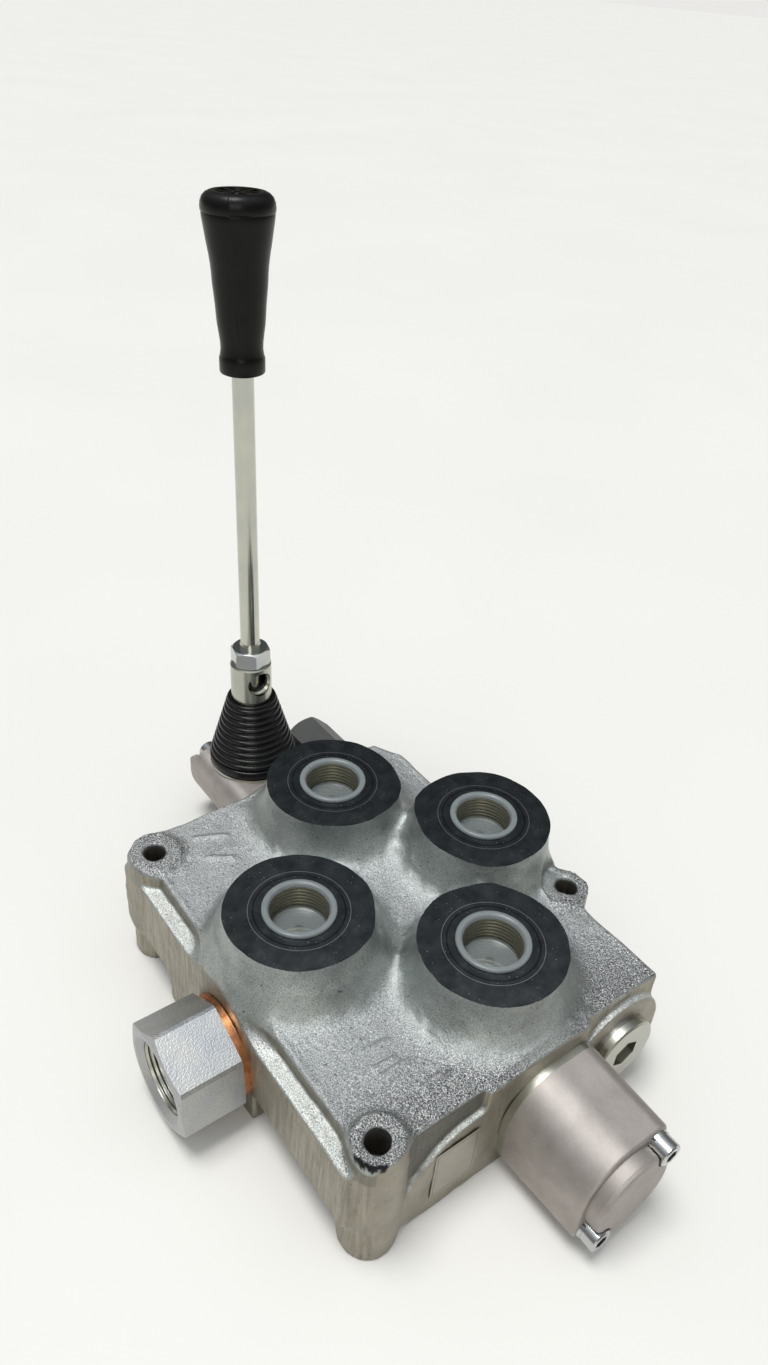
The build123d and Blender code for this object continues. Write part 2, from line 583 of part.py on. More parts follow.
def relief_screw():
    """Adjusting screw of the relief valve, with a slotted end."""
    end_x = RELIEF_SHOULDER_X - 27.0
    screw = rod_x(end_x, end_x + 20.0, 5.94, RELIEF_Y)
    return screw - block(end_x - 1, end_x + 1.5, RELIEF_Y - 8, RELIEF_Y + 8, SPOOL_Z - 0.7, SPOOL_Z + 0.7)


def relief_cap():
    """Sealing cap nut over the adjusting screw."""
    x0 = RELIEF_SHOULDER_X - RELIEF_HEX_LENGTH
    length = 35.0
    bar = Pos(x0, RELIEF_Y, SPOOL_Z) * Rot(0, -90, 0) * hexagon(26.0, length, 12.0)
    outline = [(0, 0), (15.4, 0), (15.4, length - 2.8), (12.4, length), (0, length)]
    dome = turned(outline, (x0, RELIEF_Y, SPOOL_Z), "-x")
    return (bar & dome) - rod_x(x0 - 22.0, x0 + 1, 9.06, RELIEF_Y)


# ---- build every node --------------------------------------------------------------------------

def build():
    front_face = BODY_FRONT_X + PLATE_THICKNESS
    rear_plate_x = BODY_REAR_X - PLATE_THICKNESS
    save("valve_body", valve_body())
    for name, (x, y) in PORTS.items():
        save(f"{name}_port_plug", port_plug(x, y))
    save("port_adapter", port_adapter())
    save("adapter_washer_inner", copper_washer(0))
    save("adapter_washer_outer", copper_washer(1))
    save("spool", spool())
    save("spool_seal_front", spool_seal(BODY_FRONT_X - SEAL_WIDTH))
    save("spool_seal_rear", spool_seal(BODY_REAR_X + 0.1))
    save("front_seal_plate", seal_plate(BODY_FRONT_X, False))
    save("rear_seal_plate", seal_plate(rear_plate_x, True))
    save("spring_cap", spring_cap())
    screw_x = CAP_SHOULDER_X + 1.5
    cap_screws = [facing_x(cap_screw(55.0), screw_x, y, z) for y, z in screw_places()]
    save("spring_cap_screws", *cap_screws)
    save("spring_cap_lock_washers", *[lock_washer(CAP_SHOULDER_X, y, z) for y, z in screw_places()])
    save("spindle_bolt", spindle_bolt())
    save("spring_seat_inner", spring_seat(front_face + 0.05, 1))
    save("spring_seat_outer", spring_seat(CAP_CAVITY_X - 0.35, -1))
    spring = coil_spring(21.8, 12.0, 1.3, 5.0)
    save("centring_spring", Pos(front_face + 2.0, 0, SPOOL_Z) * Rot(0, 90, 0) * spring)
    save("lever_housing", lever_housing())
    housing_screw_x = HOUSING_REAR_X + 7.0
    screws = [facing_x(cap_screw(64.0), housing_screw_x, y, z, False) for y, z in housing_screw_places()]
    save("lever_housing_screws", *screws)
    save("pivot_pin", rod_y(-15.5, 15.5, PIN_R, PIVOT_X, PIVOT_Z))
    save("boot_ring", boot_ring())
    save("boot", boot())
    save("lever_arm", lever_arm())
    save("jam_nut", jam_nut())
    save("lever_rod", lever_rod())
    save("grip", grip())
    save("socket_plug", socket_plug())
    plug_washer = ring_x(BODY_FRONT_X, BODY_FRONT_X + PLUG_WASHER_THICKNESS, 15.4, 12.3, CHECK_Y)
    save("socket_plug_washer", plug_washer)
    save("check_poppet", check_poppet())
    check_spring = coil_spring(40.0, 5.0, 0.7, 7.0)
    save("check_spring", Pos(44.5, CHECK_Y, SPOOL_Z) * Rot(0, 90, 0) * check_spring)
    save("relief_cartridge", relief_cartridge())
    save("relief_washer", ring_x(RELIEF_SHOULDER_X, RELIEF_SHOULDER_X + 1.5, 14.5, 11.3, RELIEF_Y))
    save("relief_poppet", relief_poppet())
    relief_spring = coil_spring(22.5, 4.2, 0.9, 6.0)
    save("relief_spring", Pos(-100.9, RELIEF_Y, SPOOL_Z) * Rot(0, 90, 0) * relief_spring)
    save("relief_adjusting_screw", relief_screw())
    save("relief_cap", relief_cap())
    save("blank_label", block(BODY_FRONT_X, BODY_FRONT_X + 0.3, -55.0, -34.0, 9.0, 37.0))


build()
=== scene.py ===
import math

import bmesh
import bpy
import numpy as np
from mathutils import Matrix, Vector


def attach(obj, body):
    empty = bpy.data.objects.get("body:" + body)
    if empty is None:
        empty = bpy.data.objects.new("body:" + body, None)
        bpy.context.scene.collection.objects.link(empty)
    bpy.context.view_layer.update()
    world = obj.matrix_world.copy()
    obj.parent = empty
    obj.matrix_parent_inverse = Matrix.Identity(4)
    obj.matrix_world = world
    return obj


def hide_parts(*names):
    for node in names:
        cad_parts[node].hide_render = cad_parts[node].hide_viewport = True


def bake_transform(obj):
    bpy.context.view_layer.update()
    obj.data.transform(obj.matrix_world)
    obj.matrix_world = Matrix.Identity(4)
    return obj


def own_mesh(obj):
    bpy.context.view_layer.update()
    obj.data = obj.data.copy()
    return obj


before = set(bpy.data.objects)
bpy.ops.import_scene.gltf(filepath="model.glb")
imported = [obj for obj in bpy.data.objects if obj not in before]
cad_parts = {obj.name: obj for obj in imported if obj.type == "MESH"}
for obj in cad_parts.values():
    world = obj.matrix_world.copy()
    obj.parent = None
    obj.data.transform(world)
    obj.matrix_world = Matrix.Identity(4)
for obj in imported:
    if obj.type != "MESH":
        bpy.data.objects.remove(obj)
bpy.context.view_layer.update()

MM = 0.001

# Millimetres, in the part's frame, as in the CAD.
PORTS = {"work_a": (-55.5, 0.0), "work_b": (55.5, 0.0), "pressure": (1.0, -54.0), "tank": (-0.5, 43.7)}
EARS = [(-76.5, -79.5, 57.5), (87.5, -77.2, 59.5), (38.0, 62.5, 57.5)]
PORT_Z = 78.0
PORT_HOLE_R = 12.35
BOSS_R = 30.0
PLATEAU_Z = 56.0
SPOOL_Z = 26.5
PIVOT = (-126.8, 0.0, 48.5)
LEAN = math.radians(2.1)
THREAD_PITCH = 1.814
FOOT_LIFT = 18.0
LEDGE_Z = 49.5
SIDE_BORE_Y = 42.0
MOUNT_HOLE_R = 4.75
ADAPTER_X = 6.0
ADAPTER_TIP_Y = -121.0
GRIP_FOOT_Z = 242.0


# ---- node material helpers ----------------------------------------------------------------------

class Shader:
    """A Principled material, with short calls for the nodes that drive it."""

    def __init__(self, name, color, metallic=0.0, roughness=0.5, **sockets):
        self.material = bpy.data.materials.new(name)
        self.material.use_nodes = True
        self.tree = self.material.node_tree
        self.bsdf = self.tree.nodes["Principled BSDF"]
        self.bsdf.inputs["Base Color"].default_value = (*color, 1.0)
        self.bsdf.inputs["Metallic"].default_value = metallic
        self.bsdf.inputs["Roughness"].default_value = roughness
        for socket, value in sockets.items():
            self.bsdf.inputs[socket.replace("_", " ")].default_value = value
        self.coords = self.tree.nodes.new("ShaderNodeTexCoord").outputs["Object"]

    def link(self, source, target):
        self.tree.links.new(source, target)

    def scaled(self, x=1.0, y=1.0, z=1.0):
        """Object coordinates, stretched."""
        node = self.tree.nodes.new("ShaderNodeMapping")
        node.inputs["Scale"].default_value = (x, y, z)
        self.link(self.coords, node.inputs["Vector"])
        return node.outputs["Vector"]

    def noise(self, size_mm, detail=3.0, rough=0.55, vector=None):
        """Noise with features of about that size, 0 to 1."""
        node = self.tree.nodes.new("ShaderNodeTexNoise")
        node.inputs["Scale"].default_value = 1.0 / (size_mm * MM)
        node.inputs["Detail"].default_value = detail
        node.inputs["Roughness"].default_value = rough
        self.link(vector or self.coords, node.inputs["Vector"])
        return node.outputs["Fac"]

    def ramp(self, value, *stops):
        """Colour ramp; stops are (position, grey or colour)."""
        node = self.tree.nodes.new("ShaderNodeValToRGB")
        ramp = node.color_ramp
        while len(ramp.elements) < len(stops):
            ramp.elements.new(0.5)
        for element, (position, color) in zip(ramp.elements, stops):
            element.position = position
            rgb = (color,) * 3 if isinstance(color, (int, float)) else color
            element.color = (*rgb, 1.0)
        self.link(value, node.inputs["Fac"])
        return node.outputs["Color"]

    def math(self, operation, a, b=0.5, c=None):
        node = self.tree.nodes.new("ShaderNodeMath")
        node.operation = operation
        for index, value in enumerate((a, b, c)):
            if value is None:
                continue
            if isinstance(value, (int, float)):
                node.inputs[index].default_value = value
            else:
                self.link(value, node.inputs[index])
        return node.outputs["Value"]

    def mix(self, factor, a, b, blend="MIX"):
        """Colour mix; each input may be a colour or a socket."""
        node = self.tree.nodes.new("ShaderNodeMix")
        node.data_type = "RGBA"
        node.blend_type = blend
        inputs = {"Factor": node.inputs[0], "A": node.inputs[6], "B": node.inputs[7]}
        for key, value in (("Factor", factor), ("A", a), ("B", b)):
            if isinstance(value, tuple):
                inputs[key].default_value = (*value, 1.0)
            elif isinstance(value, (int, float)):
                inputs[key].default_value = value
            else:
                self.link(value, inputs[key])
        return node.outputs[2]

    def attribute(self, name):
        node = self.tree.nodes.new("ShaderNodeAttribute")
        node.attribute_name = name
        return node.outputs["Fac"]

    def xyz(self):
        """Object coordinates as separate X, Y and Z sockets."""
        split = self.tree.nodes.new("ShaderNodeSeparateXYZ")
        self.link(self.coords, split.inputs["Vector"])
        return split.outputs

    def radius(self):
        """Distance from the piece's own Z axis, in millimetres."""
        at = self.xyz()
        xx = self.math("MULTIPLY", at["X"], at["X"])
        yy = self.math("MULTIPLY", at["Y"], at["Y"])
        return self.math("MULTIPLY", self.math("SQRT", self.math("ADD", xx, yy)), 1000.0)

    def color(self, socket):
        self.link(socket, self.bsdf.inputs["Base Color"])

    def roughness(self, value, low, high):
        """Roughness between low and high, driven by a 0 to 1 value."""
        node = self.tree.nodes.new("ShaderNodeMapRange")
        node.inputs["To Min"].default_value = low
        node.inputs["To Max"].default_value = high
        self.link(value, node.inputs["Value"])
        self.link(node.outputs["Result"], self.bsdf.inputs["Roughness"])

    def bump(self, *layers):
        """Stacked bumps; each layer is (height socket, strength, depth in mm)."""
        below = None
        for height, strength, depth_mm in layers:
            node = self.tree.nodes.new("ShaderNodeBump")
            node.inputs["Distance"].default_value = depth_mm * MM
            if isinstance(strength, (int, float)):
                node.inputs["Strength"].default_value = strength
            else:
                self.link(strength, node.inputs["Strength"])
            self.link(height, node.inputs["Height"])
            if below:
                self.link(below, node.inputs["Normal"])
            below = node.outputs["Normal"]
        self.link(below, self.bsdf.inputs["Normal"])


def cast_zinc():
    """Zinc-plated casting: sparkling rough tops, darker and harsher near the front edge and ears as painted
    shade, satin boss walls, drawn sides toned warm and dark as a painted floor reflection, plain machined
    pads, and painted shade on recessed walls.
    """
    s = Shader("cast_zinc", (0.4, 0.42, 0.41), metallic=0.95, roughness=0.4)
    rough = s.attribute("rough")
    wall = s.attribute("wall")
    pad = s.attribute("pad")
    edge = s.attribute("edge")
    grain = s.noise(0.5, 4.0, 0.72)
    coarse = s.noise(1.7, 3.0, 0.6)
    clouds = s.noise(16.0, 3.0)
    draws = s.noise(1.5, 3.0, 0.6, s.scaled(1.0, 1.0, 0.06))
    calm = s.ramp(grain, (0.32, (0.13, 0.136, 0.14)), (0.5, (0.38, 0.393, 0.397)), (0.65, (0.8, 0.81, 0.8)))
    # The darker, high-contrast copy below is painted shade on the tops near the front edge and the ears,
    # where the edge mask is high.
    edge_shaded = s.ramp(grain, (0.4, (0.025, 0.026, 0.03)), (0.52, (0.26, 0.27, 0.28)), (0.62, (0.92, 0.92, 0.88)))
    top = s.mix(edge, calm, edge_shaded)
    ledge = s.ramp(grain, (0.36, (0.2, 0.21, 0.205)), (0.5, (0.72, 0.74, 0.71)), (0.6, (0.98, 0.99, 0.95)))
    top = s.mix(s.attribute("ledge"), top, ledge)
    smooth = s.ramp(clouds, (0.3, (0.36, 0.39, 0.382)), (0.7, (0.58, 0.615, 0.595)))
    smooth = s.mix(0.75, smooth, s.ramp(grain, (0.36, 0.34), (0.6, 1.0)), "MULTIPLY")
    # Drawn walls: the streaks are grinding marks; their warm, darker tone is a painted floor reflection.
    side = s.ramp(draws, (0.25, (0.2, 0.185, 0.145)), (0.55, (0.32, 0.295, 0.24)), (0.8, (0.42, 0.39, 0.32)))
    flat = s.ramp(clouds, (0.3, (0.29, 0.265, 0.215)), (0.7, (0.37, 0.34, 0.28)))
    color = s.mix(wall, s.mix(rough, smooth, top), side)
    color = s.mix(pad, color, flat)
    # Walls under the plateau edges turn near black here: painted shade.
    color = s.mix(s.attribute("painted_recess_shade"), color, (0.09, 0.09, 0.082))
    pits = s.ramp(s.noise(1.5, 2.0, 0.5), (0.26, 0.2), (0.32, 1.0))
    color = s.mix(0.8, color, pits, "MULTIPLY")
    s.color(s.mix(s.attribute("chip"), color, (0.02, 0.02, 0.022)))
    s.roughness(s.math("ADD", s.math("MULTIPLY", grain, 0.7), s.math("MULTIPLY", rough, 0.1)), 0.33, 0.58)
    lively = s.math("MULTIPLY_ADD", rough, 0.42, 0.55)
    s.bump((s.noise(5.0, 3.0), 0.25, 0.5), (coarse, s.math("MULTIPLY_ADD", rough, 0.35, 0.26), 0.6),
           (grain, lively, 0.36), (draws, s.math("MULTIPLY", wall, 0.22), 0.2))
    return s.material


def machined_face():
    """Turned face, its near-black colour a painted dark reflection, with fine rings, a painted highlight ring
    and dust.
    """
    s = Shader("machined_face", (0.1, 0.105, 0.115), metallic=1.0, roughness=0.22)
    r = s.radius()
    rings = s.math("SINE", s.math("MULTIPLY", r, 31.0))
    clouds = s.noise(9.0, 4.0, 0.6)
    # The near-black base colour stands in for a dark reflection: painted reflection.
    base = s.ramp(clouds, (0.3, (0.07, 0.078, 0.082)), (0.75, (0.13, 0.142, 0.148)))
    # A thin bright ring at r 20.35 mm: a painted highlight.
    seat_highlight = s.math("LESS_THAN", s.math("ABSOLUTE", s.math("SUBTRACT", r, 20.35)), 0.14)
    inner = s.math("LESS_THAN", s.math("ABSOLUTE", s.math("SUBTRACT", r, 18.3)), 0.35)
    dust = s.ramp(s.noise(0.8, 1.0, 0.4), (0.73, 0.0), (0.77, 1.0))
    color = s.mix(s.math("MULTIPLY", inner, 0.6), base, (0.015, 0.015, 0.018))
    color = s.mix(s.math("MULTIPLY", seat_highlight, 0.75), color, (0.62, 0.6, 0.58))
    s.color(s.mix(dust, color, (0.75, 0.77, 0.8)))
    s.roughness(clouds, 0.16, 0.34)
    s.bump((rings, 0.06, 0.05), (clouds, 0.08, 0.3))
    return s.material


def zinc_turned(name, color, roughness, streak=(1.0, 1.0, 1.0), hole=None, grain=(0.08, 0.04),
                specks=0.2):
    """Zinc plate over turned or rolled steel.

    hole is (y, z, radius) of a bore along X, covered by a dark disc of painted shade; grain is the bump's
    (strength, depth in mm);
    specks is the share of fine mottling in the colour.
    """
    s = Shader(name, color, metallic=1.0, roughness=roughness)
    clouds = s.noise(12.0, 3.0, 0.5)
    dark = tuple(0.88 * c for c in color)
    warm = (color[0] * 1.05, color[1] * 1.02, color[2] * 0.94)
    fine = s.noise(0.35, 2.0, 0.5, s.scaled(*streak))
    plate = s.ramp(clouds, (0.3, dark), (0.7, warm))
    tone = s.mix(specks, plate, s.ramp(fine, (0.3, 0.75), (0.7, 1.0)), "MULTIPLY")
    # Inside the bore's radius the colour turns near black: painted shade in the bore.
    if hole:
        at = s.xyz()
        dy = s.math("SUBTRACT", at["Y"], hole[0] * MM)
        dz = s.math("SUBTRACT", at["Z"], hole[1] * MM)
        squares = s.math("ADD", s.math("MULTIPLY", dy, dy), s.math("MULTIPLY", dz, dz))
        inside = s.math("LESS_THAN", s.math("SQRT", squares), hole[2] * MM)
        tone = s.mix(inside, tone, (0.035, 0.035, 0.035))
    s.color(tone)
    s.roughness(clouds, roughness * 0.85, roughness * 1.25)
    s.bump((fine, *grain))
    return s.material


def blasted_aluminium():
    """Bead-blasted die-cast aluminium, matte and slightly warm."""
    s = Shader("blasted_aluminium", (0.4, 0.365, 0.345), metallic=0.88, roughness=0.52)
    grain = s.noise(0.35, 3.0, 0.65)
    specks = s.ramp(s.noise(0.8, 2.0, 0.6), (0.66, 0.0), (0.72, 1.0))
    color = s.ramp(s.noise(11.0, 4.0), (0.3, (0.35, 0.318, 0.298)), (0.7, (0.44, 0.403, 0.38)))
    s.color(s.mix(s.math("MULTIPLY", specks, 0.3), color, (0.72, 0.67, 0.65)))
    s.roughness(grain, 0.46, 0.64)
    s.bump((grain, 0.6, 0.16), (s.noise(3.0, 2.0), 0.12, 0.25))
    return s.material


def copper():
    s = Shader("soft_copper", (0.86, 0.42, 0.2), metallic=1.0, roughness=0.3)
    s.color(s.ramp(s.noise(3.0, 3.0), (0.3, (0.45, 0.18, 0.07)), (0.7, (0.74, 0.36, 0.18))))
    s.bump((s.noise(0.5, 2.0), 0.15, 0.05))
    return s.material


def rubber():
    """Moulded black rubber with a slight bloom."""
    s = Shader("boot_rubber", (0.006, 0.006, 0.0065), roughness=0.22, Specular_IOR_Level=0.26)
    s.color(s.ramp(s.noise(5.0, 4.0), (0.35, (0.004, 0.004, 0.0045)), (0.75, (0.01, 0.01, 0.011))))
    s.roughness(s.noise(2.0, 4.0), 0.16, 0.28)
    s.bump((s.noise(0.8, 3.0), 0.04, 0.06))
    return s.material


def grip_plastic():
    """Satin moulded thermoset with a fine skin."""
    s = Shader("grip_plastic", (0.005, 0.005, 0.005), roughness=0.3, Specular_IOR_Level=0.2)
    s.color(s.ramp(s.noise(7.0, 4.0), (0.35, (0.0015, 0.0015, 0.0015)), (0.75, (0.005, 0.0045, 0.004))))
    s.roughness(s.noise(1.5, 4.0), 0.24, 0.4)
    s.bump((s.noise(0.45, 3.0), 0.16, 0.08), (s.noise(9.0, 2.0), 0.1, 0.4))
    return s.material


def plug_plastic(name, alpha, color):
    """Moulded polyethylene, more or less clear by its thickness."""
    s = Shader(name, color, roughness=0.22, Alpha=alpha, Specular_IOR_Level=0.6)
    pale = tuple(min(1.0, c * 1.12) for c in color)
    s.color(s.ramp(s.noise(4.0, 3.0), (0.3, color), (0.7, pale)))
    s.roughness(s.noise(1.2, 3.0), 0.14, 0.3)
    s.bump((s.noise(0.8, 3.0), 0.12, 0.1))
    return s.material


def label_film():
    """Blank printed foil: a plain field inside one thin frame line."""
    s = Shader("label_film", (0.36, 0.335, 0.28), metallic=0.8, roughness=0.4)
    at = s.xyz()
    across = s.math("ABSOLUTE", s.math("SUBTRACT", at["Y"], -44.5 * MM))
    along = s.math("ABSOLUTE", s.math("SUBTRACT", at["Z"], 23.0 * MM))
    edge = s.math("MAXIMUM", s.math("SUBTRACT", across, 9.4 * MM), s.math("SUBTRACT", along, 12.9 * MM))
    line = s.math("LESS_THAN", s.math("ABSOLUTE", edge), 0.13 * MM)
    field = s.ramp(s.noise(9.0, 3.0), (0.3, (0.33, 0.305, 0.255)), (0.7, (0.39, 0.365, 0.31)))
    s.color(s.mix(s.math("MULTIPLY", line, 0.85), field, (0.03, 0.03, 0.03)))
    s.bump((s.noise(0.7, 2.0), 0.08, 0.05))
    return s.material


def thread_metal():
    """Pale yellowish tapped wall, with painted shade along each thread trough and a painted highlight along
    each crest.
    """
    s = Shader("thread_metal", (0.6, 0.58, 0.42), metallic=0.6, roughness=0.34)
    wave = s.math("SINE", s.math("MULTIPLY", s.xyz()["Z"], 2 * math.pi / (THREAD_PITCH * MM)))
    # Colour along the pitch: painted shade in each trough, painted highlight on each crest.
    thread_shading = s.ramp(wave, (0.0, (0.13, 0.12, 0.075)), (0.35, (0.66, 0.63, 0.46)), (0.8, (1.0, 0.98, 0.84)))
    s.color(s.mix(0.3, thread_shading, s.ramp(s.noise(2.5, 3.0), (0.3, 0.6), (0.7, 1.0)), "MULTIPLY"))
    s.bump((wave, 0.5, 0.3), (s.noise(0.5, 2.0), 0.15, 0.05))
    return s.material


# ---- mesh helpers -------------------------------------------------------------------------------

def add_mesh(name, verts, faces, material, body, smooth=True, origin=(0.0, 0.0, 0.0)):
    """Mesh object from millimetre points; origin is the object's own place in the part's frame."""
    mesh = bpy.data.meshes.new(name)
    shifted = (np.asarray(verts, float) - np.asarray(origin, float)) * MM
    mesh.from_pydata(shifted.tolist(), [], [list(map(int, f)) for f in faces])
    mesh.materials.append(material)
    mesh.validate()
    mesh.polygons.foreach_set("use_smooth", [smooth] * len(mesh.polygons))
    obj = bpy.data.objects.new(name, mesh)
    bpy.context.scene.collection.objects.link(obj)
    obj.location = Vector(origin) * MM
    if body:
        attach(obj, body)
    return obj


def turned_mesh(profile, segments=128, closed=False):
    """Verts and faces of a profile of (radius, height) pairs turned about Z."""
    verts = []
    for r, z in profile:
        for k in range(segments):
            a = 2 * math.pi * k / segments
            verts.append((r * math.cos(a), r * math.sin(a), z))
    faces = []
    rows = len(profile) if closed else len(profile) - 1
    for i in range(rows):
        j = (i + 1) % len(profile)
        for k in range(segments):
            n = (k + 1) % segments
            faces.append((i * segments + k, i * segments + n, j * segments + n, j * segments + k))
    return np.array(verts), faces


def sharp(obj, degrees):
    """Keep edges sharper than the angle crisp in a smooth-shaded mesh."""
    mesh = obj.data
    bm = bmesh.new()
    bm.from_mesh(mesh)
    limit = math.radians(degrees)
    for edge in bm.edges:
        edge.smooth = len(edge.link_faces) == 2 and edge.calc_face_angle(0.0) < limit
    bm.to_mesh(mesh)
    bm.free()


def leaned(points):
    """Points drawn upright over the pivot, leaned to the lever's rest angle."""
    p = np.asarray(points, float)
    c, s = math.cos(-LEAN), math.sin(-LEAN)
    z = p[:, 2] - PIVOT[2]
    return np.stack([PIVOT[0] + c * p[:, 0] + s * z, p[:, 1], PIVOT[2] - s * p[:, 0] + c * z], 1)


# ---- casting as a distance field ----------------------------------------------------------------

def smooth_min(a, b, k):
    h = np.maximum(k - np.abs(a - b), 0.0) / k
    return np.minimum(a, b) - h * h * k * 0.25


def polygon_field(x, y, points):
    """Signed distance to a polygon in plan."""
    distance = np.full(x.shape, 1e9)
    inside = np.zeros(x.shape, bool)
    for (ax, ay), (bx, by) in zip(points, points[1:] + points[:1]):
        ex, ey = bx - ax, by - ay
        t = np.clip(((x - ax) * ex + (y - ay) * ey) / (ex * ex + ey * ey), 0, 1)
        distance = np.minimum(distance, np.hypot(x - ax - t * ex, y - ay - t * ey))
        crosses = ((ay > y) != (by > y)) & (x < ex * (y - ay) / (ey if ey else 1e-9) + ax)
        inside ^= crosses
    return np.where(inside, -distance, distance)


def rounded_extrusion(plan, z, z0, z1, r):
    """Plan field extruded between two heights, with rounded edges."""
    a = plan + r
    b = np.maximum(z - z1, z0 - z) + r
    return np.minimum(np.maximum(a, b), 0) + np.hypot(np.maximum(a, 0), np.maximum(b, 0)) - r


def smooth_noise(shape, sigma, seed):
    """Gaussian-filtered noise with unit deviation."""
    field = np.random.RandomState(seed).standard_normal(shape).astype(np.float32)
    spectrum = np.fft.rfftn(field)
    for axis, n in enumerate(shape):
        k = np.fft.rfftfreq(n) if axis == len(shape) - 1 else np.fft.fftfreq(n)
        falloff = np.exp(-2 * (math.pi * k * sigma) ** 2)
        spectrum *= falloff.reshape([-1 if i == axis else 1 for i in range(len(shape))])
    field = np.fft.irfftn(spectrum, shape)
    return field / field.std()


def surface_nets(field, origin, step):
    """Quad mesh of the zero surface of a sampled field."""
    inner = tuple(n - 1 for n in field.shape)
    total = np.zeros(inner + (3,), np.float32)
    count = np.zeros(inner, np.int32)
    for axis in range(3):
        others = [a for a in range(3) if a != axis]
        for da in (0, 1):
            for db in (0, 1):
                low = [0, 0, 0]
                low[others[0]], low[others[1]] = da, db
                high = list(low)
                high[axis] = 1
                fa = field[tuple(slice(o, o + n) for o, n in zip(low, inner))]
                fb = field[tuple(slice(o, o + n) for o, n in zip(high, inner))]
                hit = (fa < 0) != (fb < 0)
                t = fa[hit] / (fa[hit] - fb[hit])
                point = np.tile(np.array(low, np.float32), (t.size, 1))
                point[:, axis] += t
                total[hit] += point
                count[hit] += 1
    active = count > 0
    index = np.full(inner, -1, np.int64)
    index[active] = np.arange(active.sum())
    cells = np.argwhere(active)
    verts = np.asarray(origin) + step * (cells + total[active] / count[active][:, None])
    faces = []
    for axis in range(3):
        u, v = [(1, 2), (2, 0), (0, 1)][axis]
        a = np.take(field, np.arange(field.shape[axis] - 1), axis)
        b = np.take(field, np.arange(1, field.shape[axis]), axis)
        cross = np.argwhere((a < 0) != (b < 0))
        cu, cv = cross[:, u], cross[:, v]
        cross = cross[(cu > 0) & (cv > 0) & (cu < inner[u]) & (cv < inner[v])]
        outward = field[tuple(cross.T)] < 0
        corners = []
        for du, dv in ((1, 1), (0, 1), (0, 0), (1, 0)):
            cell = cross.copy()
            cell[:, u] -= du
            cell[:, v] -= dv
            corners.append(index[tuple(cell.T)])
        quad = np.stack(corners, 1)
        quad[~outward] = quad[~outward][:, ::-1]
        faces.append(quad)
    return verts, np.concatenate(faces)


def bar(x, y, z, x0, y0, x1, y1, width, height):
    """Raised foundry bar on the plateau between two plan points."""
    ex, ey = x1 - x0, y1 - y0
    t = np.clip(((x - x0) * ex + (y - y0) * ey) / (ex * ex + ey * ey), 0, 1)
    flat = np.hypot(x - x0 - t * ex, y - y0 - t * ey) - width / 2
    return rounded_extrusion(flat, z, PLATEAU_Z - 4, PLATEAU_Z + height, 0.5)


